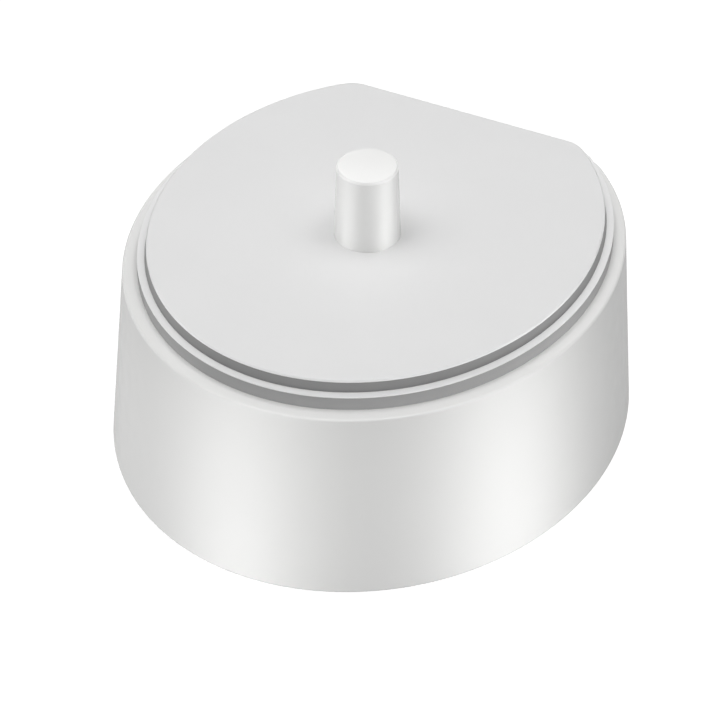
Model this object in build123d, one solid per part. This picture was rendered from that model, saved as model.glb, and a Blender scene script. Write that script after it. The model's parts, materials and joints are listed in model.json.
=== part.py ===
"""Charging base of an electric toothbrush, in millimetres.

The base is an oval casing with a flat rear wall. Its roof carries, from the outside in, a shoulder,
a grey seal, a trim ring, a second grey seal and a deck plate, and a hollow post stands up through
the deck. A ferrite rod in the post is driven by a coil and a small circuit board inside.

+Z is up and +Y points to the flat rear wall. The origin is on the surface that the feet stand on,
under the middle of the casing.
"""
import os
from math import cos, pi, sin

from build123d import *

# Plan of the deck: an ellipse whose rear is cut off by a flat, with rounded corners
DECK_HALF_WIDTH = 25.0
DECK_HALF_DEPTH = 29.0
OVAL_Y = 3.6
FLAT_Y = 27.3
CORNER_RADIUS = 3.7
SMALLEST_CORNER = 0.5

# How far the other outlines stand outside the deck, and how far forward they lie
RING_GROW = 1.07
RIM_GROW = 2.64
RIM_SHIFT = -0.3
BOTTOM_GROW = 4.4
BOTTOM_SHIFT = -0.95

# Heights
SHELL_BOTTOM = 0.4
PLATE_BOTTOM = 0.6
PLATE_TOP = 2.4
REBATE_TOP = 3.2
ROOF_UNDERSIDE = 21.6
SHOULDER = 23.2
SEAT = 23.6
RING_TOP = 24.9
DECK_TOP = 26.35
POST_TOP = 35.56

# Casing
WALL = 1.8
REBATE_WALL = 1.0
GAP = 0.1
FINE_GAP = 0.05
RIM_ROUND = 0.28
FOOT_EDGE_ROUND = 0.3
DECK_LIP = 0.3
DECK_EDGE_ROUND = 0.17
RING_LIP = 0.12
RING_EDGE_ROUND = 0.06
SEAL_INSET = 0.12
SEAL_WIDTH = 0.95
SEAL_SUNK = 0.4
DECK_SEAL_FLARE = 0.34
RING_SEAL_FLARE = 0.12
RING_BODY_OUTER = 0.05
RING_BODY_INNER = -2.4

# Charging post
POST_Y = 1.1
POST_FOOT_RADIUS = 3.76
POST_TOP_RADIUS = 3.45
POST_EDGE_CHAMFER = 0.22
POST_BORE_RADIUS = 2.4
POST_ROOF = 1.16
POST_FLANGE_RADIUS = 7.5
POST_HOLE_GAP = 0.02
KEY_RADIUS = 0.8
KEY_SHORTER = 0.3
ORING_RADIUS = 5.9
ORING_SECTION = 0.4
ROOF_HOLE_RADIUS = 3.0

# Deck studs, staked under the roof, and the trim ring's locating pins
STUD_RADIUS = 1.0
STUD_HEAD_RADIUS = 1.7
STUD_HEAD = 0.7
STUD_PLACES = [(-15.0, -10.0), (15.0, -10.0), (-10.5, 19.0), (10.5, 19.0)]
PIN_RADIUS = 0.7
PIN_LENGTH = 1.0
PIN_PLACES = [(-23.6, POST_Y), (23.6, POST_Y), (0.0, -23.9), (0.0, 25.8)]

# Feet, and the case screws above them
SCREW_X = 15.5
SCREW_FRONT_Y = -16.0
SCREW_REAR_Y = 19.0
FOOT_RADIUS = 3.5
FOOT_TOP = 1.4
FOOT_CHAMFER = 0.25
SCREW_SHANK_RADIUS = 1.3
SCREW_HEAD_RADIUS = 2.6
SCREW_HEAD = 1.4
SCREW_SEAT = 3.2
SCREW_LENGTH = 8.0
SCREW_SLOT = 0.7
SCREW_SLOT_LENGTH = 3.4
CUT_SPARE = 1.0
CUP_RADIUS = 4.0
CUP_TOP = 4.6
BOSS_RADIUS = 2.8

# Cord gland in the rear wall
GLAND_Z = 8.6
GLAND_BORE_RADIUS = 1.8
GLAND_NECK_RADIUS = 2.5
GLAND_FLANGE_RADIUS = 3.4
GLAND_OUTER_Y = 30.7
GLAND_RECESS_Y = 30.0
GLAND_PAD_Y = 27.9
GLAND_FLANGE_END_Y = 26.5
GLAND_INNER_Y = 24.5
GLAND_NOSE_RADIUS = 2.7
GLAND_PAD_RADIUS = 4.5
GLAND_EDGE_ROUND = 0.35

# Circuit board
BOARD_BOTTOM = 5.0
BOARD_TOP = 6.4
BOARD_WIDTH = 24.0
BOARD_FRONT_Y = -24.0
BOARD_REAR_Y = 22.0
WING_WIDTH = 46.0
WING_FRONT_Y = -10.0
WING_REAR_Y = 13.0
BOARD_CORNER = 2.0
STANDOFF_RADIUS = 2.2
STANDOFF_X = 9.0
STANDOFF_YS = (-21.0, 20.0)
BOARD_SCREW_RADIUS = 0.9
BOARD_SCREW_HEAD_RADIUS = 1.9
BOARD_SCREW_HEAD = 1.0
BOARD_SCREW_TIP = 1.6
BOARD_SCREW_SLOT = (2.7, 0.4, 0.5)
LEAD_END = 4.2
LEAD_GAP = 0.1
SOLDER_RADIUS = 0.9
SHEET_THICKNESS = 0.25
SHEET_MARGIN = 0.5
LABEL_THICKNESS = 0.15
LABEL_SIZE = (20.0, 14.0)

# Core and coil
CORE_RADIUS = 2.1
CORE_BOTTOM = 7.0
CORE_TOP = 34.2
BOBBIN_HUB_RADIUS = 3.0
BOBBIN_FLANGE_RADIUS = 9.0
BOBBIN_FLANGE = 1.0
BOBBIN_TOP = 21.0
BOBBIN_STAND_RADIUS = 5.0
CORE_CHAMFER = 0.2
COIL_INNER_RADIUS = 3.05
COIL_OUTER_RADIUS = 7.6
COIL_TURNS = 14
TAPE_THICKNESS = 0.12
TAPE_HALF_HEIGHT = 4.0
COIL_PIN_CIRCLE = 7.6
COIL_PIN_RADIUS = 0.35

# Electronic parts: middle of each on the board, and its leads about that middle
CAN_AT = (-16.4, 1.5)
CAN_RADIUS = 5.0
CAN_TOP = 19.0
FILM_AT = (16.6, 1.5)
FILM_SIZE = (6.0, 13.0, 11.0)
CHOKE_AT = (-6.2, -15.0)
CHOKE_RADIUS = 4.0
CHOKE_TOP = 15.0
TRANSISTOR_AT = (7.0, -16.0)
TRANSISTOR_SIZE = (8.0, 2.7, 11.0)
BRIDGE_AT = (-5.0, 14.2)
BRIDGE_SIZE = (8.4, 5.0, 3.3)
FUSE_AT = (5.6, 13.2)
FUSE_RADIUS = 1.6
FUSE_LENGTH = 7.5
CHIP_AT = (0.2, -20.5)
CHIP_SIZE = (5.0, 3.9, 1.5)
RESISTOR_SIZE = (2.0, 1.25, 0.5)
RESISTOR_PLACES = [(-4.0, -20.5), (-0.8, -13.0), (1.6, -13.0), (20.8, -6.6), (-20.6, -7.0), (6.0, 17.2)]
TAB_PLACES = [(-3.0, 20.2), (3.0, 20.2)]
TAB_SIZE = (2.8, 0.8, 6.5)
TAB_CHAMFER = 0.56
LEAD_RADIUS = 0.35
CAN_LEAD_PITCH = 5.0
CAN_EDGE_ROUND = 0.5
CAN_GROOVE_RADIUS = 0.42
CAN_GROOVE_HEIGHT = 2.0
FILM_LEAD_PITCH = 10.0
FILM_EDGE_ROUND = 0.4
CHOKE_LEAD_PITCH = 5.0
CHOKE_FLANGE = 1.0
CHOKE_SLEEVE_RADIUS = 3.4
TRANSISTOR_LEAD_PITCH = 2.3
TRANSISTOR_LIFT = 2.0
TRANSISTOR_CHAMFER = 0.34
TRANSISTOR_HOLE_RADIUS = 1.6
TRANSISTOR_HOLE_HEIGHT = 7.7
BRIDGE_LEAD_X = 2.0
BRIDGE_LEAD_Y = 3.2
BRIDGE_LIFT = 0.5
BRIDGE_CHAMFER = 0.4
BRIDGE_ARM = 2.0
FUSE_LEAD_PITCH = 9.9
FUSE_WAIST_RADIUS = 1.36
FUSE_CAP_LENGTH = 1.6
FUSE_LIFT = 0.3
CHIP_CHAMFER = 0.25
CHIP_LEG_PITCH = 1.27
CHIP_LEGS_A_SIDE = 4
CHIP_LEG_WIDTH = 0.4
CHIP_LEG_THICKNESS = 0.15
CHIP_LEG_HEIGHT = 0.9
CHIP_LEG_FOOT = 1.2
BODY_LEAD = 1.0

NEAR = 0.01
CENTRE_LOW = (Align.CENTER, Align.CENTER, Align.MIN)


def plan(grow=0.0, shift=0.0):
    """Outline of the deck, grown all round and moved along Y."""
    half_width = DECK_HALF_WIDTH + grow
    half_depth = DECK_HALF_DEPTH + grow
    flat_y = FLAT_Y + grow + shift
    oval = Pos(0, OVAL_Y + shift) * Ellipse(half_depth, half_width, rotation=90)
    kept = Pos(0, flat_y) * Rectangle(3 * half_width, 3 * half_depth, align=(Align.CENTER, Align.MAX))
    outline = oval & kept
    corners = outline.vertices().sort_by(Axis.Y)[-2:]
    return fillet(corners, max(CORNER_RADIUS + grow, SMALLEST_CORNER))


def wall_plan(height, inset=0.0):
    """Outline of the drafted casing wall at a height, moved inwards by an inset."""
    part_way = (height - SHELL_BOTTOM) / (SHOULDER - SHELL_BOTTOM)
    grow = BOTTOM_GROW + part_way * (RIM_GROW - BOTTOM_GROW)
    shift = BOTTOM_SHIFT + part_way * (RIM_SHIFT - BOTTOM_SHIFT)
    return plan(grow - inset, shift)


def wall_body(low, high, inset=0.0):
    """Solid inside the drafted wall, between two heights."""
    bottom = Pos(0, 0, low) * wall_plan(low, inset)
    top = Pos(0, 0, high) * wall_plan(high, inset)
    return loft([bottom, top], ruled=True)


def slab(outline, low, high):
    """Upright solid of one outline between two heights."""
    return Pos(0, 0, low) * extrude(outline, high - low)


def band(outer, inner, low, high):
    """Ring that follows the deck's outline, between two distances from it."""
    return slab(plan(outer), low, high) - slab(plan(inner), low, high)


def seal(outer, width, flare, groove, ledge, lip):
    """Seal in a groove: straight below its ledge, and flared out to its foot between lip and ledge."""
    foot = Pos(0, 0, ledge) * plan(outer + flare)
    head = Pos(0, 0, lip) * plan(outer)
    body = loft([foot, head], ruled=True) + slab(plan(outer), groove, ledge)
    return body - slab(plan(outer - width), groove, lip)


def rod(radius, low, high, at=(0.0, 0.0)):
    """Upright cylinder between two heights."""
    return Pos(at[0], at[1], low) * Cylinder(radius, high - low, align=CENTRE_LOW)


def tube(outer, inner, low, high, at=(0.0, 0.0)):
    """Upright tube between two heights."""
    return rod(outer, low, high, at) - rod(inner, low, high, at)


def block(size, low, at=(0.0, 0.0)):
    """Upright box standing at a height."""
    return Pos(at[0], at[1], low) * Box(*size, align=CENTRE_LOW)


def edges_at(body, axis, where):
    """Edges of a body whose middle lies at a place along an axis."""
    return body.edges().filter_by_position(axis, where - NEAR, where + NEAR)


def level_disc(radius, near_y, far_y):
    """Cylinder along Y at the cord gland's height."""
    turned = Cylinder(radius, far_y - near_y, rotation=(-90, 0, 0))
    return Pos(0, (near_y + far_y) / 2, GLAND_Z) * turned


def screw_places():
    """Where the four case screws and the feet below them are."""
    return [(x, y) for y in (SCREW_FRONT_Y, SCREW_REAR_Y) for x in (-SCREW_X, SCREW_X)]


def standoff_places():
    """Where the four board screws are."""
    return [(x, y) for y in STANDOFF_YS for x in (-STANDOFF_X, STANDOFF_X)]


def pair(centre, gap_x=0.0, gap_y=0.0):
    """Two lead positions on either side of a centre."""
    x, y = centre
    return [(x - gap_x / 2, y - gap_y / 2), (x + gap_x / 2, y + gap_y / 2)]


def lead_places():
    """Every through-board lead, by the part that it belongs to."""
    x, y = TRANSISTOR_AT
    bridge_x, bridge_y = BRIDGE_AT
    coil_angles = [pi / 4 + step * pi / 2 for step in range(4)]
    return {
        "can": pair(CAN_AT, gap_y=CAN_LEAD_PITCH),
        "film": pair(FILM_AT, gap_y=FILM_LEAD_PITCH),
        "choke": pair(CHOKE_AT, gap_x=CHOKE_LEAD_PITCH),
        "transistor": [(x + step * TRANSISTOR_LEAD_PITCH, y) for step in (-1, 0, 1)],
        "bridge": [(bridge_x + dx, bridge_y + dy)
                   for dx in (-BRIDGE_LEAD_X, BRIDGE_LEAD_X) for dy in (-BRIDGE_LEAD_Y, BRIDGE_LEAD_Y)],
        "fuse": pair(FUSE_AT, gap_x=FUSE_LEAD_PITCH),
        "coil": [(COIL_PIN_CIRCLE * cos(a), POST_Y + COIL_PIN_CIRCLE * sin(a)) for a in coil_angles],
        "tabs": TAB_PLACES,
    }


def leads(name, top):
    """The wire leads of one part, from under the board up to the part."""
    return [rod(LEAD_RADIUS, LEAD_END, top, place) for place in lead_places()[name]]


# ---------------------------------------------------------------- casing

def outer_shell():
    """Casing in one moulding: drafted wall, shoulder, seat for the ring and roof with its holes."""
    shell = wall_body(SHELL_BOTTOM, SHOULDER)
    rim = edges_at(shell, Axis.Z, SHOULDER)
    shell = fillet(rim, RIM_ROUND)
    foot = edges_at(shell, Axis.Z, SHELL_BOTTOM)
    shell = fillet(foot, FOOT_EDGE_ROUND)
    shell -= wall_body(SHELL_BOTTOM, ROOF_UNDERSIDE, WALL)
    shell -= slab(wall_plan(REBATE_TOP, REBATE_WALL), 0, REBATE_TOP)
    groove_outer = RING_GROW - SEAL_INSET + FINE_GAP
    shell -= band(groove_outer, RING_BODY_OUTER, SHOULDER - SEAL_SUNK, SHOULDER)
    shell += slab(plan(RING_BODY_OUTER), SHOULDER, SEAT)
    for place in screw_places():
        shell += rod(BOSS_RADIUS, CUP_TOP + GAP, ROOF_UNDERSIDE, place)
        shell -= rod(SCREW_SHANK_RADIUS, CUP_TOP, SCREW_SEAT + SCREW_LENGTH + CUT_SPARE, place)
    for place in STUD_PLACES:
        shell -= rod(STUD_RADIUS + FINE_GAP, ROOF_UNDERSIDE, SEAT, place)
    for place in PIN_PLACES:
        shell -= rod(PIN_RADIUS + FINE_GAP, SEAT - PIN_LENGTH - GAP, SEAT, place)
    post_at = (0.0, POST_Y)
    shell -= rod(ROOF_HOLE_RADIUS, ROOF_UNDERSIDE, SEAT, post_at)
    groove = ORING_SECTION + FINE_GAP
    shell -= tube(ORING_RADIUS + groove, ORING_RADIUS - groove, SEAT - 2 * ORING_SECTION, SEAT, post_at)
    key_at = (POST_FLANGE_RADIUS, POST_Y)
    shell += rod(KEY_RADIUS, SEAT, RING_TOP - KEY_SHORTER, key_at)
    shell += level_disc(GLAND_PAD_RADIUS, GLAND_PAD_Y, GLAND_RECESS_Y - FINE_GAP)
    shell -= level_disc(GLAND_NECK_RADIUS, GLAND_PAD_Y, GLAND_OUTER_Y)
    shell -= level_disc(GLAND_FLANGE_RADIUS + FINE_GAP, GLAND_RECESS_Y, GLAND_OUTER_Y + CUT_SPARE)
    return shell


def deck_plate():
    """Top plate: a thin lip over the seal, a body on the trim ring and four staked studs."""
    lip = slab(plan(), DECK_TOP - DECK_LIP, DECK_TOP)
    top_edges = edges_at(lip, Axis.Z, DECK_TOP)
    plate = fillet(top_edges, DECK_EDGE_ROUND)
    body_outline = plan(-SEAL_INSET - SEAL_WIDTH - GAP)
    plate += slab(body_outline, RING_TOP, DECK_TOP - DECK_LIP)
    for place in STUD_PLACES:
        plate += rod(STUD_RADIUS, ROOF_UNDERSIDE, RING_TOP, place)
        plate += rod(STUD_HEAD_RADIUS, ROOF_UNDERSIDE - STUD_HEAD, ROOF_UNDERSIDE, place)
    return plate - rod(POST_FOOT_RADIUS + POST_HOLE_GAP, RING_TOP, DECK_TOP, (0.0, POST_Y))


def deck_seal():
    """Upper grey seal, in the trim ring's groove and under the deck plate's lip."""
    lip = DECK_TOP - DECK_LIP
    return seal(-SEAL_INSET, SEAL_WIDTH, DECK_SEAL_FLARE, RING_TOP - SEAL_SUNK, RING_TOP, lip)


def trim_ring():
    """Light ring between the two seals, with a thin lip, a groove on top and four pins below."""
    lip = slab(plan(RING_GROW), RING_TOP - RING_LIP, RING_TOP)
    top_edges = edges_at(lip, Axis.Z, RING_TOP)
    ring = fillet(top_edges, RING_EDGE_ROUND)
    ring += slab(plan(RING_BODY_OUTER), SEAT, RING_TOP - RING_LIP)
    ring -= slab(plan(RING_BODY_INNER), SEAT, RING_TOP)
    groove_outer = -SEAL_INSET + FINE_GAP
    groove_inner = -SEAL_INSET - SEAL_WIDTH - FINE_GAP
    ring -= band(groove_outer, groove_inner, RING_TOP - SEAL_SUNK, RING_TOP)
    for place in PIN_PLACES:
        ring += rod(PIN_RADIUS, SEAT - PIN_LENGTH, SEAT, place)
    return ring


def ring_seal():
    """Lower grey seal, in the shell's groove and under the trim ring's lip."""
    outer = RING_GROW - SEAL_INSET
    width = outer - RING_BODY_OUTER - FINE_GAP
    return seal(outer, width, RING_SEAL_FLARE, SHOULDER - SEAL_SUNK, SHOULDER, RING_TOP - RING_LIP)


def charging_post():
    """Hollow tapered post with a flange that the deck plate holds down on the roof."""
    at = Pos(0, POST_Y, DECK_TOP)
    post = at * Cone(POST_FOOT_RADIUS, POST_TOP_RADIUS, POST_TOP - DECK_TOP, align=CENTRE_LOW)
    top_edge = edges_at(post, Axis.Z, POST_TOP)
    post = chamfer(top_edge, POST_EDGE_CHAMFER)
    centre = (0.0, POST_Y)
    post += rod(POST_FOOT_RADIUS, SEAT, DECK_TOP, centre)
    post += rod(POST_FLANGE_RADIUS, SEAT, RING_TOP - GAP, centre)
    post -= rod(POST_BORE_RADIUS, SEAT, POST_TOP - POST_ROOF, centre)
    return post - rod(KEY_RADIUS + FINE_GAP, SEAT, RING_TOP, (POST_FLANGE_RADIUS, POST_Y))


def post_seal():
    """O-ring in the roof's groove under the post's flange."""
    return Pos(0, POST_Y, SEAT - ORING_SECTION) * Torus(ORING_RADIUS, ORING_SECTION)


def base_plate():
    """Underside cover with foot recesses, screw cups, board standoffs and a label recess."""
    plate = slab(wall_plan(REBATE_TOP, REBATE_WALL + GAP), PLATE_BOTTOM, PLATE_TOP)
    for place in screw_places():
        plate += rod(CUP_RADIUS, PLATE_TOP, CUP_TOP, place)
        plate -= rod(FOOT_RADIUS + FINE_GAP, PLATE_BOTTOM, FOOT_TOP, place)
        plate -= rod(SCREW_HEAD_RADIUS + GAP, FOOT_TOP, SCREW_SEAT, place)
        plate -= rod(SCREW_SHANK_RADIUS + GAP, SCREW_SEAT, CUP_TOP, place)
    for place in standoff_places():
        plate += rod(STANDOFF_RADIUS, PLATE_TOP, BOARD_BOTTOM, place)
        plate -= rod(BOARD_SCREW_RADIUS, BOARD_SCREW_TIP, BOARD_BOTTOM, place)
    return plate - Pos(0, 0, PLATE_BOTTOM) * extrude(label_outline(GAP), LABEL_THICKNESS)


def base_seal():
    """Gasket between the base plate's edge and the step in the casing wall."""
    outer = wall_plan(REBATE_TOP, REBATE_WALL + GAP)
    inner = wall_plan(REBATE_TOP, WALL + 2 * GAP)
    return slab(outer, PLATE_TOP, REBATE_TOP) - slab(inner, PLATE_TOP, REBATE_TOP)


def foot(place):
    """Rubber foot, glued into the base plate's recess over a case screw."""
    pad = rod(FOOT_RADIUS, 0, FOOT_TOP, place)
    edge = edges_at(pad, Axis.Z, 0)
    return chamfer(edge, FOOT_CHAMFER)


def case_screws():
    """Four pan-head screws with a cross recess, from the base plate up into the shell's bosses."""
    screws = []
    for place in screw_places():
        screw = rod(SCREW_HEAD_RADIUS, SCREW_SEAT - SCREW_HEAD, SCREW_SEAT, place)
        screw += rod(SCREW_SHANK_RADIUS, SCREW_SEAT, SCREW_SEAT + SCREW_LENGTH, place)
        for length, width in ((SCREW_SLOT_LENGTH, SCREW_SLOT), (SCREW_SLOT, SCREW_SLOT_LENGTH)):
            screw -= block((length, width, SCREW_SLOT), SCREW_SEAT - SCREW_HEAD, place)
        screws.append(screw)
    return screws


def cord_gland():
    """Rubber bush in the rear wall: two flanges, a neck between them and the cord's hole."""
    outer_flange = level_disc(GLAND_FLANGE_RADIUS, GLAND_RECESS_Y, GLAND_OUTER_Y)
    rim = edges_at(outer_flange, Axis.Y, GLAND_OUTER_Y)
    gland = fillet(rim, GLAND_EDGE_ROUND)
    gland += level_disc(GLAND_NECK_RADIUS, GLAND_PAD_Y, GLAND_RECESS_Y)
    gland += level_disc(GLAND_FLANGE_RADIUS, GLAND_FLANGE_END_Y, GLAND_PAD_Y)
    gland += level_disc(GLAND_NOSE_RADIUS, GLAND_INNER_Y, GLAND_FLANGE_END_Y)
    return gland - level_disc(GLAND_BORE_RADIUS, GLAND_INNER_Y, GLAND_OUTER_Y)


def label_outline(grow=0.0):
    """Rounded rectangle of the rating label."""
    return RectangleRounded(LABEL_SIZE[0] + 2 * grow, LABEL_SIZE[1] + 2 * grow, BOARD_CORNER)


def rating_label():
    """Blank film label, flush with the underside."""
    return Pos(0, 0, PLATE_BOTTOM) * extrude(label_outline(), LABEL_THICKNESS)


# ---------------------------------------------------------------- board

def board_outline():
    """Cross-shaped outline that clears the four case screw bosses."""
    spine_length = BOARD_REAR_Y - BOARD_FRONT_Y
    wing_length = WING_REAR_Y - WING_FRONT_Y
    spine = Pos(0, (BOARD_REAR_Y + BOARD_FRONT_Y) / 2) * RectangleRounded(
        BOARD_WIDTH, spine_length, BOARD_CORNER)
    wings = Pos(0, (WING_REAR_Y + WING_FRONT_Y) / 2) * RectangleRounded(
        WING_WIDTH, wing_length, BOARD_CORNER)
    return spine + wings


def circuit_board():
    """Board with its screw holes and a hole for each lead."""
    board = slab(board_outline(), BOARD_BOTTOM, BOARD_TOP)
    for place in standoff_places():
        board -= rod(BOARD_SCREW_RADIUS + GAP, BOARD_BOTTOM, BOARD_TOP, place)
    for places in lead_places().values():
        for place in places:
            board -= rod(LEAD_RADIUS + LEAD_GAP, BOARD_BOTTOM, BOARD_TOP, place)
    return board


def board_screws():
    """Four small screws, board to standoffs."""
    screws = []
    for place in standoff_places():
        screw = rod(BOARD_SCREW_RADIUS, BOARD_SCREW_TIP, BOARD_TOP, place)
        screw += rod(BOARD_SCREW_HEAD_RADIUS, BOARD_TOP, BOARD_TOP + BOARD_SCREW_HEAD, place)
        slot_low = BOARD_TOP + BOARD_SCREW_HEAD - BOARD_SCREW_SLOT[2]
        screw -= block(BOARD_SCREW_SLOT, slot_low, place)
        screws.append(screw)
    return screws


def solder_joints():
    """A cone of solder round each lead, under the board."""
    joints = []
    for places in lead_places().values():
        for x, y in places:
            height = BOARD_BOTTOM - LEAD_END - GAP
            cone = Pos(x, y, LEAD_END + GAP) * Cone(
                SOLDER_RADIUS / 2, SOLDER_RADIUS, height, align=CENTRE_LOW)
            joints.append(cone - rod(LEAD_RADIUS, LEAD_END, BOARD_BOTTOM, (x, y)))
    return joints


def insulator_sheet():
    """Insulating film on the base plate, between the standoffs."""
    width = 2 * (SCREW_X - CUP_RADIUS - SHEET_MARGIN)
    length = STANDOFF_YS[1] - STANDOFF_YS[0] - 2 * (STANDOFF_RADIUS + SHEET_MARGIN)
    middle = (STANDOFF_YS[1] + STANDOFF_YS[0]) / 2
    sheet = Pos(0, middle) * RectangleRounded(width, length, BOARD_CORNER)
    return slab(sheet, PLATE_TOP, PLATE_TOP + SHEET_THICKNESS)


# ---------------------------------------------------------------- core and coil

def ferrite_core():
    """Ferrite rod from the bobbin up into the post."""
    core = rod(CORE_RADIUS, CORE_BOTTOM, CORE_TOP, (0.0, POST_Y))
    ends = core.edges().filter_by(GeomType.CIRCLE)
    return chamfer(ends, CORE_CHAMFER)


def coil_bobbin():
    """Former with two flanges, standing on the board, with sockets for the four pins."""
    at = (0.0, POST_Y)
    bobbin = rod(BOBBIN_FLANGE_RADIUS, CORE_BOTTOM, CORE_BOTTOM + BOBBIN_FLANGE, at)
    bobbin += rod(BOBBIN_HUB_RADIUS, CORE_BOTTOM, BOBBIN_TOP, at)
    bobbin += rod(BOBBIN_FLANGE_RADIUS, BOBBIN_TOP - BOBBIN_FLANGE, BOBBIN_TOP, at)
    bobbin += tube(BOBBIN_STAND_RADIUS, CORE_RADIUS, BOARD_TOP, CORE_BOTTOM, at)
    bobbin -= rod(CORE_RADIUS, CORE_BOTTOM, BOBBIN_TOP, at)
    for place in lead_places()["coil"]:
        bobbin -= rod(COIL_PIN_RADIUS, CORE_BOTTOM, CORE_BOTTOM + BOBBIN_FLANGE, place)
    return bobbin


def primary_coil():
    """Winding on the bobbin: a thick ring whose outside shows the top layer's turns."""
    low = CORE_BOTTOM + BOBBIN_FLANGE + FINE_GAP
    high = BOBBIN_TOP - BOBBIN_FLANGE - FINE_GAP
    pitch = (high - low) / COIL_TURNS
    at = (0.0, POST_Y)
    coil = tube(COIL_OUTER_RADIUS - pitch / 2, COIL_INNER_RADIUS, low, high, at)
    for turn in range(COIL_TURNS):
        height = low + pitch * (turn + 0.5)
        coil += Pos(0, POST_Y, height) * Torus(COIL_OUTER_RADIUS - pitch / 2, pitch / 2)
    return coil


def coil_tape():
    """Film tape round the middle of the winding."""
    middle = (CORE_BOTTOM + BOBBIN_TOP) / 2
    low = middle - TAPE_HALF_HEIGHT
    high = middle + TAPE_HALF_HEIGHT
    return tube(COIL_OUTER_RADIUS + TAPE_THICKNESS, COIL_OUTER_RADIUS, low, high, (0.0, POST_Y))


def coil_pins():
    """Four terminal pins from the bobbin down through the board."""
    top = CORE_BOTTOM + BOBBIN_FLANGE
    return [rod(COIL_PIN_RADIUS, LEAD_END, top, place) for place in lead_places()["coil"]]


# ---------------------------------------------------------------- electronic parts

def filter_capacitor():
    """Electrolytic can with a rolled groove near its foot."""
    low = BOARD_TOP + GAP
    can = rod(CAN_RADIUS, low, CAN_TOP, CAN_AT)
    can = fillet(can.edges().filter_by(GeomType.CIRCLE), CAN_EDGE_ROUND)
    x, y = CAN_AT
    can -= Pos(x, y, low + CAN_GROOVE_HEIGHT) * Torus(CAN_RADIUS + GAP, CAN_GROOVE_RADIUS)
    return Part() + can + leads("can", low + BODY_LEAD)


def film_capacitor():
    """Box-shaped film capacitor."""
    case = block(FILM_SIZE, BOARD_TOP + GAP, FILM_AT)
    case = fillet(case.edges(), FILM_EDGE_ROUND)
    return Part() + case + leads("film", BOARD_TOP + BODY_LEAD)


def filter_choke():
    """Drum-core inductor: two flanges with a sleeved winding between them."""
    low = BOARD_TOP + GAP
    drum = rod(CHOKE_RADIUS, low, low + CHOKE_FLANGE, CHOKE_AT)
    drum += rod(CHOKE_RADIUS, CHOKE_TOP - CHOKE_FLANGE, CHOKE_TOP, CHOKE_AT)
    drum += rod(CHOKE_SLEEVE_RADIUS, low, CHOKE_TOP, CHOKE_AT)
    return Part() + drum + leads("choke", low + CHOKE_FLANGE)


def drive_transistor():
    """Plastic power package on three leads, with its mounting hole."""
    low = BOARD_TOP + TRANSISTOR_LIFT
    x, y = TRANSISTOR_AT
    body = block(TRANSISTOR_SIZE, low, TRANSISTOR_AT)
    body = chamfer(body.edges().filter_by(Axis.X), TRANSISTOR_CHAMFER)
    depth = 2 * TRANSISTOR_SIZE[1]
    hole = Cylinder(TRANSISTOR_HOLE_RADIUS, depth, rotation=(90, 0, 0))
    body -= Pos(x, y, low + TRANSISTOR_HOLE_HEIGHT) * hole
    return Part() + body + leads("transistor", low + BODY_LEAD)


def bridge_rectifier():
    """Four-lead moulded bridge, its leads bent down at the sides."""
    low = BOARD_TOP + BRIDGE_LIFT
    body = block(BRIDGE_SIZE, low, BRIDGE_AT)
    body = chamfer(body.edges().filter_by(Axis.Z), BRIDGE_CHAMFER)
    middle = low + BRIDGE_SIZE[2] / 2
    arms = []
    for x, y in lead_places()["bridge"]:
        inward = (BRIDGE_AT[1] - y) / abs(BRIDGE_AT[1] - y)
        reach = inward * (BRIDGE_ARM / 2 - LEAD_RADIUS)
        arms.append(block((2 * LEAD_RADIUS, BRIDGE_ARM, 2 * LEAD_RADIUS), middle, (x, y + reach)))
    return Part() + body + arms + leads("bridge", middle + LEAD_RADIUS)


def fuse_resistor():
    """Axial fusible resistor lying over the board, with a dumb-bell body."""
    x, y = FUSE_AT
    axis_z = BOARD_TOP + FUSE_RADIUS + FUSE_LIFT
    lie = Rotation(0, 90, 0)
    body = Pos(x, y, axis_z) * lie * Cylinder(FUSE_WAIST_RADIUS, FUSE_LENGTH)
    for side in (-1, 1):
        cap_x = x + side * (FUSE_LENGTH - FUSE_CAP_LENGTH) / 2
        body += Pos(cap_x, y, axis_z) * lie * Cylinder(FUSE_RADIUS, FUSE_CAP_LENGTH)
    wire = Pos(x, y, axis_z) * lie * Cylinder(LEAD_RADIUS, FUSE_LEAD_PITCH + 2 * LEAD_RADIUS)
    return Part() + body + wire + leads("fuse", axis_z)


def controller_chip():
    """Small eight-leg package, its legs standing on the board."""
    x, y = CHIP_AT
    chip = block(CHIP_SIZE, BOARD_TOP + GAP, CHIP_AT)
    chip = chamfer(chip.edges().filter_by(Axis.X), CHIP_CHAMFER)
    shin_y = CHIP_SIZE[1] / 2 + FINE_GAP
    foot_y = CHIP_SIZE[1] / 2 + CHIP_LEG_FOOT / 2 - GAP
    for side in (-1, 1):
        for leg in range(CHIP_LEGS_A_SIDE):
            leg_x = x + (leg - (CHIP_LEGS_A_SIDE - 1) / 2) * CHIP_LEG_PITCH
            shin = (CHIP_LEG_WIDTH, CHIP_LEG_THICKNESS, CHIP_LEG_HEIGHT)
            chip += block(shin, BOARD_TOP, (leg_x, y + side * shin_y))
            flat = (CHIP_LEG_WIDTH, CHIP_LEG_FOOT, CHIP_LEG_THICKNESS)
            chip += block(flat, BOARD_TOP, (leg_x, y + side * foot_y))
    return chip


def chip_resistors():
    """Small flat resistors on the board."""
    return [block(RESISTOR_SIZE, BOARD_TOP, place) for place in RESISTOR_PLACES]


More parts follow.
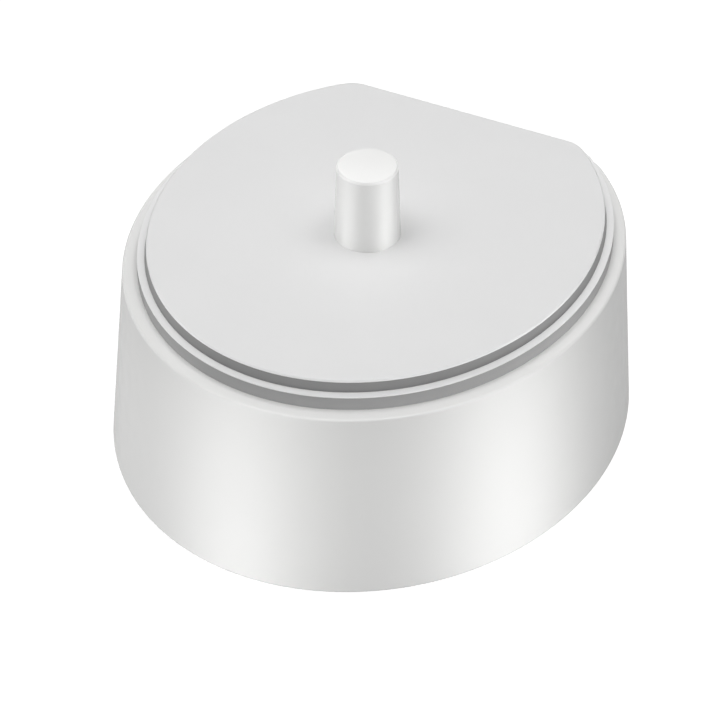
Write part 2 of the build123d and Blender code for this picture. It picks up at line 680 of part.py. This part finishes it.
def cord_terminals():
    """Two blade tabs where the cord's cores would push on."""
    tabs = []
    for place in TAB_PLACES:
        tab = block(TAB_SIZE, BOARD_TOP, place)
        top_edges = edges_at(tab, Axis.Z, BOARD_TOP + TAB_SIZE[2])
        tab = chamfer(top_edges.filter_by(Axis.Y), TAB_CHAMFER)
        tab += rod(LEAD_RADIUS, LEAD_END, BOARD_TOP, place)
        tabs.append(tab)
    return tabs


def all_parts():
    """Every node by name."""
    parts = {
        "outer_shell": outer_shell(),
        "deck_plate": deck_plate(),
        "deck_seal": deck_seal(),
        "trim_ring": trim_ring(),
        "ring_seal": ring_seal(),
        "charging_post": charging_post(),
        "post_seal": post_seal(),
        "base_plate": base_plate(),
        "base_seal": base_seal(),
        "case_screws": case_screws(),
        "cord_gland": cord_gland(),
        "rating_label": rating_label(),
        "circuit_board": circuit_board(),
        "board_screws": board_screws(),
        "solder_joints": solder_joints(),
        "insulator_sheet": insulator_sheet(),
        "ferrite_core": ferrite_core(),
        "coil_bobbin": coil_bobbin(),
        "primary_coil": primary_coil(),
        "coil_tape": coil_tape(),
        "coil_pins": coil_pins(),
        "filter_capacitor": filter_capacitor(),
        "film_capacitor": film_capacitor(),
        "filter_choke": filter_choke(),
        "drive_transistor": drive_transistor(),
        "bridge_rectifier": bridge_rectifier(),
        "fuse_resistor": fuse_resistor(),
        "controller_chip": controller_chip(),
        "chip_resistors": chip_resistors(),
        "cord_terminals": cord_terminals(),
    }
    foot_names = ("foot_front_left", "foot_front_right", "foot_rear_left", "foot_rear_right")
    for name, place in zip(foot_names, screw_places()):
        parts[name] = foot(place)
    return parts


os.makedirs("parts", exist_ok=True)
for node, shape in all_parts().items():
    solids = shape if isinstance(shape, list) else [shape]
    export_step(Compound(children=solids) if len(solids) > 1 else solids[0], f"parts/{node}.step")
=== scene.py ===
# %% [markdown]
# # The charging base of an electric toothbrush
#
# The object is a small oval charger with a flat back: a glossy white casing, a stepped deck with two
# seals, and a tapered post that the brush handle slides over. Its solids come from a imported CAD
# frame. Here they get their finishes, and a small studio is built round them. The seals' mid grey is
# painted shade for the grooves under the deck's and the ring's edges. All lengths are in metres.

# %% Load the frame
import json
import math

import bmesh
import bpy
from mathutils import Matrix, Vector


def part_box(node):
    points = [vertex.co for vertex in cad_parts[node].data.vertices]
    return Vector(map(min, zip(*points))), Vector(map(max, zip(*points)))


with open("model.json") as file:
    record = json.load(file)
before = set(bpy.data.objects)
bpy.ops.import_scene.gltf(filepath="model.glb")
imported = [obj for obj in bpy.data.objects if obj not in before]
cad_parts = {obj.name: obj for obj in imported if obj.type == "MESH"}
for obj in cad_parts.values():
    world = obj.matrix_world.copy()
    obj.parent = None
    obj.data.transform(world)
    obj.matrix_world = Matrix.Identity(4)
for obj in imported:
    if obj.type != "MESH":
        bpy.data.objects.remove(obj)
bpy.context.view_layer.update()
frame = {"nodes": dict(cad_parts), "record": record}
MM = 0.001
MICROMETRE = 1e-6
print("CAD nodes:", len(frame["nodes"]))

# %% [markdown]
# ## Where things are
#
# Everything is placed from the boxes of the CAD nodes, so nothing drifts if the design changes. The
# middle of the casing, the middle of the post and the middle of the deck's top face are the
# reference points for the lights.

# %% Reference points
post_low, post_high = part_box("charging_post")
deck_low, deck_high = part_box("deck_plate")
shell_low, shell_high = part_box("outer_shell")
post_axis = (post_low + post_high) / 2
shell_middle = (shell_low + shell_high) / 2
deck_centre = Vector((0.0, post_axis.y, deck_high.z))
post_middle = deck_centre + Vector((0.0, 0.0, (post_high.z - deck_high.z) / 2))
post_top = Vector((post_axis.x, post_axis.y, post_high.z))
print("deck centre in mm:", [round(v / MM, 2) for v in deck_centre])
print("post top in mm:", [round(v / MM, 2) for v in post_top])

# %% [markdown]
# ## The camera
#
# A long lens from about 0.36 m flattens the oval only a little. The camera looks down by 39 degrees
# and stands 26 degrees round to the right of the front. It aims at a point inside the casing, a bit
# to the front, so that the base sits in the middle of the frame without any lens shift.

# %% Camera
CAMERA_AZIMUTH = math.radians(26.1)
CAMERA_ELEVATION = math.radians(39.3)
CAMERA_DISTANCE = 363.2 * MM
LENS_MM = 162.1
SENSOR_MM = 36.0
NEAREST, FARTHEST = 0.01, 10.0
aim = Vector((3.2 * MM, -7.3 * MM, 15.2 * MM))


def bearing(azimuth, elevation=0.0):
    """Unit vector from the object towards a viewer at an azimuth and elevation."""
    level = math.cos(elevation)
    return Vector((math.sin(azimuth) * level, -math.cos(azimuth) * level, math.sin(elevation)))


def face_point(thing, point):
    """Turns a camera or light so that it looks at a point."""
    thing.rotation_euler = (point - thing.location).to_track_quat("-Z", "Y").to_euler()


camera = bpy.data.objects.new("camera", bpy.data.cameras.new("camera"))
camera.data.lens = LENS_MM
camera.data.sensor_width = SENSOR_MM
camera.data.clip_start = NEAREST
camera.data.clip_end = FARTHEST
camera.location = aim + bearing(CAMERA_AZIMUTH, CAMERA_ELEVATION) * CAMERA_DISTANCE
face_point(camera, aim)
bpy.context.collection.objects.link(camera)
bpy.context.scene.camera = camera
print("camera at mm:", [round(v / MM, 1) for v in camera.location])

# %% [markdown]
# ## Tools for finishes
#
# Colours are written as sRGB hex, as a paint chart gives them, and one function turns them into the
# linear values that shaders want. A second one adds a shader node with its options and inputs. A
# third one starts a material.

# %% Colour and node helpers


def colour(hex_code):
    """Linear colour with full alpha from an sRGB hex code."""
    values = []
    for start in (0, 2, 4):
        part = int(hex_code[start:start + 2], 16) / 255
        values.append(part / 12.92 if part <= 0.04045 else ((part + 0.055) / 1.055) ** 2.4)
    return (*values, 1.0)


def add_node(material, kind, options=None, inputs=None):
    """Adds one node, sets its options, and fills its inputs with values or links."""
    node = material.node_tree.nodes.new(kind)
    for option, value in (options or {}).items():
        setattr(node, option, value)
    for name, value in (inputs or {}).items():
        if isinstance(value, bpy.types.NodeSocket):
            material.node_tree.links.new(value, node.inputs[name])
        else:
            node.inputs[name].default_value = value
    return node


def start_material(name):
    """New empty material with its surface shader, its output and coordinates in metres."""
    material = bpy.data.materials.new(name)
    material.use_nodes = True
    material.node_tree.nodes.clear()
    surface = add_node(material, "ShaderNodeBsdfPrincipled")
    add_node(material, "ShaderNodeOutputMaterial", inputs={"Surface": surface.outputs["BSDF"]})
    place = add_node(material, "ShaderNodeTexCoord").outputs["Object"]
    return material, surface, place


print("mid grey 808080 is", round(colour("808080")[0], 3), "in linear light")

# %% [markdown]
# ## Moulded plastics and rubbers
#
# Most of the base is injection-moulded. A polished mould leaves a gloss with a very shallow, wide
# waviness, called orange peel. A spark-eroded mould leaves a fine, even grain and a matte face.
# Rubber has a softer grain and picks up dust, so its colour is a little uneven. One recipe covers
# them: two noises for the relief, one for the tone and one for how shiny each spot is.
#
# A real spark grain is about 0.05 mm. It is drawn at 0.2 to 0.3 mm, because a finer one would be
# lost at this viewing distance.

# %% Moulded recipe
TONE_SIZE_MM = 9.0
RUB_SIZE_MM = 2.5
# Nearly all of a noise's values lie between these two.
NOISE_LOW, NOISE_HIGH = 0.3, 0.7
# How many finer layers each noise has on top of its main size.
TONE_LAYERS, RUB_LAYERS, GRAIN_LAYERS, WAVE_LAYERS = 4.0, 6.0, 2.0, 1.0


def moulded(name, light, dark, ior, roughness, polish_change, grain_mm, grain_um, wave_mm, wave_um):
    """Moulded finish: tone between two colours, a fine grain and a wide waviness."""
    material, surface, place = start_material(name)
    tone = add_node(material, "ShaderNodeTexNoise", None,
                    {"Vector": place, "Scale": 1 / (TONE_SIZE_MM * MM), "Detail": TONE_LAYERS})
    # Sockets 6 and 7 are the mix node's two colours, and output 2 is its colour result.
    tint = add_node(material, "ShaderNodeMix", {"data_type": "RGBA"}, {
        "Factor": tone.outputs["Fac"], 6: colour(dark), 7: colour(light)})
    material.node_tree.links.new(tint.outputs[2], surface.inputs["Base Color"])
    rub = add_node(material, "ShaderNodeTexNoise", None,
                   {"Vector": place, "Scale": 1 / (RUB_SIZE_MM * MM), "Detail": RUB_LAYERS})
    shine = add_node(material, "ShaderNodeMapRange", None, {
        "Value": rub.outputs["Fac"], "From Min": NOISE_LOW, "From Max": NOISE_HIGH,
        "To Min": roughness - polish_change, "To Max": roughness + polish_change})
    material.node_tree.links.new(shine.outputs["Result"], surface.inputs["Roughness"])
    grain = add_node(material, "ShaderNodeTexNoise", None,
                     {"Vector": place, "Scale": 1 / (grain_mm * MM), "Detail": GRAIN_LAYERS})
    wave = add_node(material, "ShaderNodeTexNoise", None,
                    {"Vector": place, "Scale": 1 / (wave_mm * MM), "Detail": WAVE_LAYERS})
    wave_relief = add_node(material, "ShaderNodeBump", None,
                           {"Height": wave.outputs["Fac"], "Distance": wave_um * MICROMETRE})
    relief = add_node(material, "ShaderNodeBump", None, {
        "Height": grain.outputs["Fac"], "Distance": grain_um * MICROMETRE,
        "Normal": wave_relief.outputs["Normal"]})
    material.node_tree.links.new(relief.outputs["Normal"], surface.inputs["Normal"])
    surface.inputs["IOR"].default_value = ior
    return material


print("noise sizes in mm: tone", TONE_SIZE_MM, "rub", RUB_SIZE_MM)

# %% [markdown]
# The two glossy finishes on the outside keep their roughness below 0.27 at every spot. Above that the
# denoiser takes the surface for a matte one, and faint patches with sharp edges would show where it
# crosses over.

# %% Moulded finishes
# Columns: light and dark tone, IOR, roughness and its change, grain size in mm and height in
# micrometres, waviness size in mm and height in micrometres.
moulded_finishes = {
    # Casing: a broad, soft gloss and a barely visible waviness.
    "shell_abs": moulded("gloss_moulded_abs_shell", "DDDDDC", "DADAD9", 1.5, 0.22, 0.04, 0.25, 0.8, 3.0, 6),
    # Post: whiter than the casing and a little sharper in its gloss.
    "post_abs": moulded("gloss_moulded_abs_post", "F0F0EF", "EEEEED", 1.5, 0.22, 0.03, 0.25, 0.8, 2.5, 5),
    # Deck: flat and even, without a highlight, and a fine sandy grain close up.
    "deck_abs": moulded("spark_textured_abs_deck", "E9E9E9", "E6E6E6", 1.5, 0.55, 0.05, 0.22, 7.0, 3.0, 5),
    # Ring: satin, between the deck and the casing.
    "ring_abs": moulded("satin_moulded_abs_ring", "DEDEDE", "DBDBDB", 1.5, 0.45, 0.05, 0.20, 3.0, 3.0, 4),
    # Underside: the coarsest and flattest of the white plastics.
    "base_abs": moulded("spark_textured_abs_base", "E6E6E4", "DEDEDB", 1.5, 0.6, 0.06, 0.30, 12.0, 3.0, 6),
    # Grey bands: an even mid grey, painted shade for the shadow in the grooves under the deck's and the
    # ring's edges, with a faint sheen along the edges.
    "seal_elastomer": moulded("satin_seal_painted_groove_shade", "989898", "909090", 1.5, 0.5, 0.08, 0.18, 5.0, 1.5, 6),
    # Feet: dull grey, slightly dusty.
    "foot_rubber": moulded("matte_rubber_foot", "8A8A88", "767674", 1.52, 0.75, 0.08, 0.15, 10.0, 1.2, 8),
    # Cord gland: off-white and soft-looking, duller than the wall round it.
    "gland_rubber": moulded("satin_rubber_gland", "E2E2E0", "D6D6D3", 1.52, 0.55, 0.08, 0.18, 6.0, 1.2, 8),
    # Hidden gaskets: nearly black with a weak sheen.
    "black_rubber": moulded("nitrile_rubber", "1C1C1C", "141414", 1.52, 0.6, 0.08, 0.15, 6.0, 1.0, 8),
    # Coil former: dark, with a slight waxy shine.
    "bobbin_nylon": moulded("moulded_nylon_bobbin", "2A2A2A", "202020", 1.53, 0.5, 0.08, 0.25, 6.0, 2.0, 8),
    # Box capacitor: brick red and smooth.
    "capacitor_case": moulded(
        "moulded_pbt_capacitor", "A03A30", "8C2F27", 1.55, 0.4, 0.06, 0.25, 4.0, 2.0, 6),
    # Chips and power packages: sooty black and flat.
    "epoxy_black": moulded("moulded_epoxy_package", "262626", "1A1A1A", 1.55, 0.6, 0.06, 0.12, 8.0, 2.0, 4),
    # Electrolytic can: tight dark-blue film with long soft wrinkles.
    "can_sleeve": moulded("shrunk_pvc_sleeve", "20263C", "181D30", 1.54, 0.25, 0.05, 0.5, 3.0, 1.5, 12),
    # Resistor: pale blue-green lacquer, slightly lumpy.
    "resistor_body": moulded("lacquered_resistor", "8FB8B4", "7FAAA6", 1.5, 0.35, 0.06, 0.4, 4.0, 1.0, 15),
    # Chip resistors: dark glass-like glaze.
    "chip_ceramic": moulded("glazed_alumina_chip", "2B2B2D", "1F1F21", 1.6, 0.3, 0.06, 0.1, 3.0, 0.6, 4),
    # Ferrite: charcoal grey, finely pitted, with a cool sheen.
    "ferrite": moulded("sintered_ferrite", "3A3A3D", "28282A", 2.0, 0.5, 0.1, 0.08, 8.0, 0.8, 8),
}
print("moulded finishes:", len(moulded_finishes))

# %% [markdown]
# ## Metals
#
# Plated screws, tinned leads and solder are metals: all their colour is in the reflection. Plating
# leaves a fine cloudy unevenness, and a drawn or stamped part shows faint lines, so the noise is
# stretched along one axis.

# %% Metal recipe
CLOUD_LAYERS = 5.0
CLOUD_HEIGHT = 2 * MICROMETRE
SHINE_SWING = 0.2


def plated(name, tint, roughness, cloud_mm, stretch):
    """Metal with a cloudy finish, its noise stretched along Z."""
    material, surface, place = start_material(name)
    squeezed = add_node(material, "ShaderNodeMapping", None,
                        {"Vector": place, "Scale": (1.0, 1.0, 1 / stretch)})
    cloud = add_node(material, "ShaderNodeTexNoise", None, {
        "Vector": squeezed.outputs["Vector"], "Scale": 1 / (cloud_mm * MM), "Detail": CLOUD_LAYERS})
    shine = add_node(material, "ShaderNodeMapRange", None, {
        "Value": cloud.outputs["Fac"], "To Min": roughness * (1 - SHINE_SWING),
        "To Max": roughness * (1 + SHINE_SWING)})
    relief = add_node(material, "ShaderNodeBump", None,
                      {"Height": cloud.outputs["Fac"], "Distance": CLOUD_HEIGHT})
    material.node_tree.links.new(shine.outputs["Result"], surface.inputs["Roughness"])
    material.node_tree.links.new(relief.outputs["Normal"], surface.inputs["Normal"])
    surface.inputs["Base Color"].default_value = colour(tint)
    surface.inputs["Metallic"].default_value = 1.0
    return material


# Columns: tint, roughness, cloud size in mm, stretch along Z.
plated_finishes = {
    # Screws: bright and bluish, softly clouded.
    "zinc_steel": plated("bright_zinc_plate", "C9CCCF", 0.36, 0.5, 1.0),
    # Solder cones: silvery, nearly liquid-looking.
    "solder": plated("reflowed_solder", "C4C6C8", 0.28, 0.3, 1.0),
    # Leads and pins: silver wire with faint lines from drawing.
    "tinned_wire": plated("tinned_copper_wire", "CCCBC9", 0.3, 0.2, 6.0),
    # Blade terminals: a slightly warm silver.
    "tinned_brass": plated("tinned_brass_strip", "CFCBC0", 0.32, 0.3, 4.0),
    # Winding: warm copper under a clear lacquer, its lines running round the coil.
    "copper_wire": plated("enamelled_copper_wire", "B5632F", 0.25, 0.3, 0.3),
}
print("metal finishes:", len(plated_finishes))

# %% [markdown]
# ## Films and laminate
#
# The label and the insulating sheets are polyester film, with a faint criss-cross from calendering.
# The circuit board is glass cloth under a green solder mask, so the weave shows through as a fine
# grid in its tone and height. The film's real lines are under 0.1 mm apart, and they are drawn
# coarser, at 0.4 to 0.5 mm, so that they can be seen at all.

# %% Film and laminate recipe
# The wave texture draws about this many bands per unit of length at a scale of one.
BANDS_PER_SCALE = 3.18
THREAD_WANDER = 0.4


def woven(name, light, dark, roughness, thread_mm, relief_um):
    """Sheet with a fine criss-cross of threads or rolled lines."""
    material, surface, place = start_material(name)
    lines = []
    for direction in ("X", "Y"):
        lines.append(add_node(material, "ShaderNodeTexWave", {
            "bands_direction": direction, "wave_profile": "SIN"}, {
            "Vector": place, "Scale": 1 / (thread_mm * MM) / BANDS_PER_SCALE,
            "Distortion": THREAD_WANDER}))
    both = add_node(material, "ShaderNodeMath", {"operation": "MULTIPLY"},
                    {0: lines[0].outputs["Fac"], 1: lines[1].outputs["Fac"]})
    tone = add_node(material, "ShaderNodeMix", {"data_type": "RGBA"}, {
        "Factor": both.outputs["Value"], 6: colour(dark), 7: colour(light)})
    relief = add_node(material, "ShaderNodeBump", None,
                      {"Height": both.outputs["Value"], "Distance": relief_um * MICROMETRE})
    material.node_tree.links.new(tone.outputs[2], surface.inputs["Base Color"])
    material.node_tree.links.new(relief.outputs["Normal"], surface.inputs["Normal"])
    surface.inputs["Roughness"].default_value = roughness
    return material


# Columns: light and dark tone, roughness, thread spacing in mm, height in micrometres.
woven_finishes = {
    # Label: blank, pale and satin.
    "label_film": woven("satin_polyester_label", "D8D8D6", "CFCFCD", 0.4, 0.4, 1.5),
    # Insulating sheet: milky and faintly yellow.
    "insulating_film": woven("polyester_insulating_film", "EFEAD8", "E6E0CC", 0.35, 0.5, 1.5),
    # Coil tape: bright yellow with a clear gloss.
    "coil_film": woven("polyester_coil_tape", "E8BE3C", "D9AF30", 0.25, 0.5, 1.5),
    # Board: deep green, with the glass cloth showing through.
    "board_laminate": woven("solder_masked_laminate", "2F6B35", "27592D", 0.3, 0.5, 4.0),
}
finishes = {**moulded_finishes, **plated_finishes, **woven_finishes}
print("film finishes:", len(woven_finishes), "all finishes:", len(finishes))

# %% [markdown]
# ## Putting the finishes on
#
# The record says which material slot each node takes, so the finishes are handed out by that name.

# %% Assign finishes
for entry in frame["record"]["subparts"]:
    node = frame["nodes"][entry["node"]]
    node.data.materials.clear()
    node.data.materials.append(finishes[entry["material_slot"]])
    print(entry["node"], "->", finishes[entry["material_slot"]].name)

# %% [markdown]
# ## The floor
#
# The base stands on a light table: an opal sheet that glows evenly. The camera sees it pure white,
# and the object receives a weaker glow from it, under half as strong, so that the lower walls aren't
# washed out. It lies a hair below the feet, so that no two faces share a plane.

# %% Light table
FLOOR_RADIUS = 3.0
FLOOR_SEGMENTS = 96
FLOOR_GAP = 0.02 * MM
TABLE_WHITE = 0.95
TABLE_LIGHT = 0.41
TABLE_ROUGHNESS = 0.8
floor_mesh = bmesh.new()
bmesh.ops.create_circle(floor_mesh, cap_ends=True, radius=FLOOR_RADIUS, segments=FLOOR_SEGMENTS)
floor = bpy.data.objects.new("light_table", bpy.data.meshes.new("light_table"))
floor_mesh.to_mesh(floor.data)
floor_mesh.free()
floor.location.z = -FLOOR_GAP
# Opal sheet: shadowless white that fades into the backdrop.
opal, opal_surface, _ = start_material("opal_acrylic_table")
opal_surface.inputs["Base Color"].default_value = colour("808080")
opal_surface.inputs["Roughness"].default_value = TABLE_ROUGHNESS
opal_surface.inputs["Emission Color"].default_value = (1.0, 1.0, 1.0, 1.0)
seen_directly = add_node(opal, "ShaderNodeLightPath").outputs["Is Camera Ray"]
glow = add_node(opal, "ShaderNodeMapRange", None, {
    "Value": seen_directly, "To Min": TABLE_LIGHT, "To Max": TABLE_WHITE})
opal.node_tree.links.new(glow.outputs["Result"], opal_surface.inputs["Emission Strength"])
floor.data.materials.append(opal)
bpy.context.collection.objects.link(floor)
print("floor radius in m:", FLOOR_RADIUS)

# %% [markdown]
# ## The room
#
# The room adds a weak light that is zero at the horizon and strongest from straight above. The camera
# itself sees the room as plain white, so the backdrop and the table are one.

# %% Room light
ROOM_LIGHT_ABOVE = 0.26
WHITE = (1.0, 1.0, 1.0, 1.0)
bpy.context.scene.view_settings.view_transform = "Standard"
room = bpy.data.worlds.new("room")
room.use_nodes = True
room.node_tree.nodes.clear()
direction = add_node(room, "ShaderNodeTexCoord").outputs["Generated"]
split = add_node(room, "ShaderNodeSeparateXYZ", None, {"Vector": direction})
height = add_node(room, "ShaderNodeMapRange", None, {
    "Value": split.outputs["Z"], "From Min": 0.0, "From Max": 1.0,
    "To Min": 0.0, "To Max": ROOM_LIGHT_ABOVE})
seen = add_node(room, "ShaderNodeLightPath").outputs["Is Camera Ray"]
lit = add_node(room, "ShaderNodeBackground", None,
               {"Color": WHITE, "Strength": height.outputs["Result"]})
backdrop = add_node(room, "ShaderNodeBackground", None, {"Color": WHITE, "Strength": 1.0})
chosen = add_node(room, "ShaderNodeMixShader", None,
                  {0: seen, 1: lit.outputs["Background"], 2: backdrop.outputs["Background"]})
add_node(room, "ShaderNodeOutputWorld", None, {"Surface": chosen.outputs["Shader"]})
bpy.context.scene.world = room
print("room light from above:", ROOM_LIGHT_ABOVE)

# %% [markdown]
# ## Two kinds of lamp
#
# A softbox is a flat area light that looks at a point. In a studio, flags and grids keep a lamp off
# the parts it isn't meant for. Light linking does the same here: a lamp with receivers lights those
# pieces alone, and only they and its named shading pieces can block it. Such a lamp isn't mirrored in
# the gloss, where its outline would show. It isn't sampled in the mixed way either, because many
# linked lamps sampled like that lose light.
#
# A strip is a narrow, upright softbox. It stands at a turn from the camera's own bearing, so a turn of
# zero is straight in front of the lens.

# %% Lamp helpers
MILLIWATT = 0.001


def collect(name, pieces):
    """New collection of pieces, for light linking."""
    collection = bpy.data.collections.new(name)
    for piece in pieces:
        collection.objects.link(piece)
    return collection


def softbox(name, place, target, width, height, watts, receivers=None, shading=()):
    """Area light that looks at a point. With receivers, it lights those alone."""
    lamp = bpy.data.lights.new(name, "AREA")
    lamp.shape = "RECTANGLE"
    lamp.size = width
    lamp.size_y = height
    lamp.energy = watts
    light = bpy.data.objects.new(name, lamp)
    light.location = place
    face_point(light, target)
    light.visible_camera = False
    light.visible_glossy = not receivers
    lamp.cycles.use_multiple_importance_sampling = not receivers
    bpy.context.collection.objects.link(light)
    if receivers:
        light.light_linking.receiver_collection = collect(name + "_receivers", receivers)
        light.light_linking.blocker_collection = collect(name + "_blockers", [*receivers, *shading])
    print(name, "at mm", [round(v / MM, 1) for v in place])


def strip(name, middle, turn, distance_mm, width_mm, height, milliwatts, receivers):
    """Upright narrow light near a part, at a turn from the camera's bearing."""
    place = middle + bearing(CAMERA_AZIMUTH + math.radians(turn)) * distance_mm * MM
    softbox(name, place, middle, width_mm * MM, height, milliwatts * MILLIWATT, receivers)


post_pieces = [frame["nodes"]["charging_post"]]
wall_pieces = [frame["nodes"]["outer_shell"]]
deck_pieces = [frame["nodes"]["deck_plate"]]
step_pieces = [frame["nodes"][name] for name in ("deck_seal", "trim_ring", "ring_seal")]
gland_pieces = [frame["nodes"]["cord_gland"]]
print("pieces in the steps round the deck:", len(step_pieces))

# %% [markdown]
# ## Light from above
#
# One wide softbox hangs straight overhead. A second one in the same place lifts the steps and the
# casing's rim, which would be too dark beside the deck. Two more stand left and right of the post
# and light the deck alone, the left one stronger: each puts a faint, soft shadow of the post on the
# other side of it.

# %% Overhead, rim and deck softboxes
OVERHEAD_HEIGHT = 0.6
OVERHEAD_SIZE = 0.5
OVERHEAD_WATTS = 2.0
RIM_WATTS = 1.3
DECK_SOFTBOX_HEIGHT = 0.5
DECK_SOFTBOX_SIZE = 0.4
# Sideways distance in metres, watts.
DECK_SOFTBOXES = {"left_deck_softbox": (-0.3, 0.84), "right_deck_softbox": (0.3, 0.6)}

camera_right = bearing(CAMERA_AZIMUTH + math.pi / 2)
overhead_place = deck_centre + Vector((0.0, 0.0, OVERHEAD_HEIGHT))
softbox("overhead_softbox", overhead_place, deck_centre, OVERHEAD_SIZE, OVERHEAD_SIZE, OVERHEAD_WATTS)
softbox("rim_softbox", overhead_place, deck_centre, OVERHEAD_SIZE, OVERHEAD_SIZE, RIM_WATTS,
        wall_pieces + step_pieces, deck_pieces + post_pieces)
for name, (side, watts) in DECK_SOFTBOXES.items():
    place = deck_centre + camera_right * side + Vector((0.0, 0.0, DECK_SOFTBOX_HEIGHT))
    softbox(name, place, deck_centre, DECK_SOFTBOX_SIZE, DECK_SOFTBOX_SIZE, watts,
            deck_pieces, post_pieces)

# %% [markdown]
# ## Light from behind
#
# Two softboxes behind the base keep its back and sides white when it is seen from there.

# %% Rear softboxes
REAR_DISTANCE = 0.35
REAR_ELEVATION = math.radians(20)
REAR_SIZE = 0.25
# Turn from the camera's bearing in degrees, watts.
REAR_SOFTBOXES = {"rear_left_softbox": (-140.0, 0.3), "rear_right_softbox": (154.0, 0.45)}
for name, (turn, watts) in REAR_SOFTBOXES.items():
    away = bearing(CAMERA_AZIMUTH + math.radians(turn), REAR_ELEVATION)
    softbox(name, shell_middle + away * REAR_DISTANCE, shell_middle, REAR_SIZE, REAR_SIZE, watts,
            wall_pieces + post_pieces + step_pieces + gland_pieces)

# %% [markdown]
# ## The bands down the wall
#
# Two strong strips stand about 2 cm from the wall, left and right of the camera, and draw the two
# broad bright bands down it. Two weak ones lift its far edges. They reach well below the table's top
# and above the rim, so that a band is equally bright from top to bottom.

# %% Wall strips
WALL_STRIP_HEIGHT = 53 * MM
WALL_STRIP_DROP = 1.7 * MM
# Turn in degrees, distance from the middle and width in mm, milliwatts.
WALL_STRIPS = {
    "far_left_wall_strip": (-75.0, 60.0, 10.0, 6.0),
    "left_wall_strip": (-26.0, 48.0, 14.0, 5.75),
    "right_wall_strip": (35.0, 49.0, 12.0, 7.45),
    "far_right_wall_strip": (78.0, 60.0, 10.0, 1.5),
}
wall_middle = shell_middle - Vector((0.0, 0.0, WALL_STRIP_DROP))
for name, (turn, distance_mm, width_mm, milliwatts) in WALL_STRIPS.items():
    strip(name, wall_middle, turn, distance_mm, width_mm, WALL_STRIP_HEIGHT, milliwatts, wall_pieces)

# %% [markdown]
# ## The edge of the deck
#
# The deck's rounded edge catches a thin bright line, and the grey bands below it need some light from
# the side. Three strips that end at the deck's height give both without touching its top.

# %% Deck edge strips
EDGE_STRIP_HEIGHT = 36 * MM
EDGE_STRIP_DISTANCE_MM = 54.0
EDGE_STRIP_WIDTH_MM = 20.0
# Turn in degrees, milliwatts.
EDGE_STRIPS = {
    "left_edge_strip": (-58.0, 8.0),
    "middle_edge_strip": (0.0, 6.5),
    "right_edge_strip": (52.0, 11.0),
}
edge_middle = deck_centre - Vector((0.0, 0.0, EDGE_STRIP_HEIGHT / 2))
for name, (turn, milliwatts) in EDGE_STRIPS.items():
    strip(name, edge_middle, turn, EDGE_STRIP_DISTANCE_MM, EDGE_STRIP_WIDTH_MM, EDGE_STRIP_HEIGHT,
          milliwatts, deck_pieces + step_pieces)

# %% [markdown]
# ## The post
#
# The post has its own four strips, just off its surface: bright lines left and right of the middle,
# and a darker middle and edges. A small softbox above lights its top.

# %% Post lights
POST_STRIP_HEIGHT = 24 * MM
POST_STRIP_DISTANCE_MM = 6.5
# Turn in degrees, width in mm, milliwatts.
POST_STRIPS = {
    "far_left_post_strip": (-100.0, 1.0, 0.15),
    "left_post_strip": (-39.0, 2.0, 0.24),
    "right_post_strip": (35.0, 2.5, 0.28),
    "far_right_post_strip": (100.0, 1.0, 0.035),
}
POST_TOP_HEIGHT = 50 * MM
POST_TOP_SIZE = 20 * MM
POST_TOP_WATTS = 3.8 * MILLIWATT
for name, (turn, width_mm, milliwatts) in POST_STRIPS.items():
    strip(name, post_middle, turn, POST_STRIP_DISTANCE_MM, width_mm, POST_STRIP_HEIGHT, milliwatts,
          post_pieces)
softbox("post_top_softbox", post_top + Vector((0.0, 0.0, POST_TOP_HEIGHT)), post_top,
        POST_TOP_SIZE, POST_TOP_SIZE, POST_TOP_WATTS, post_pieces)
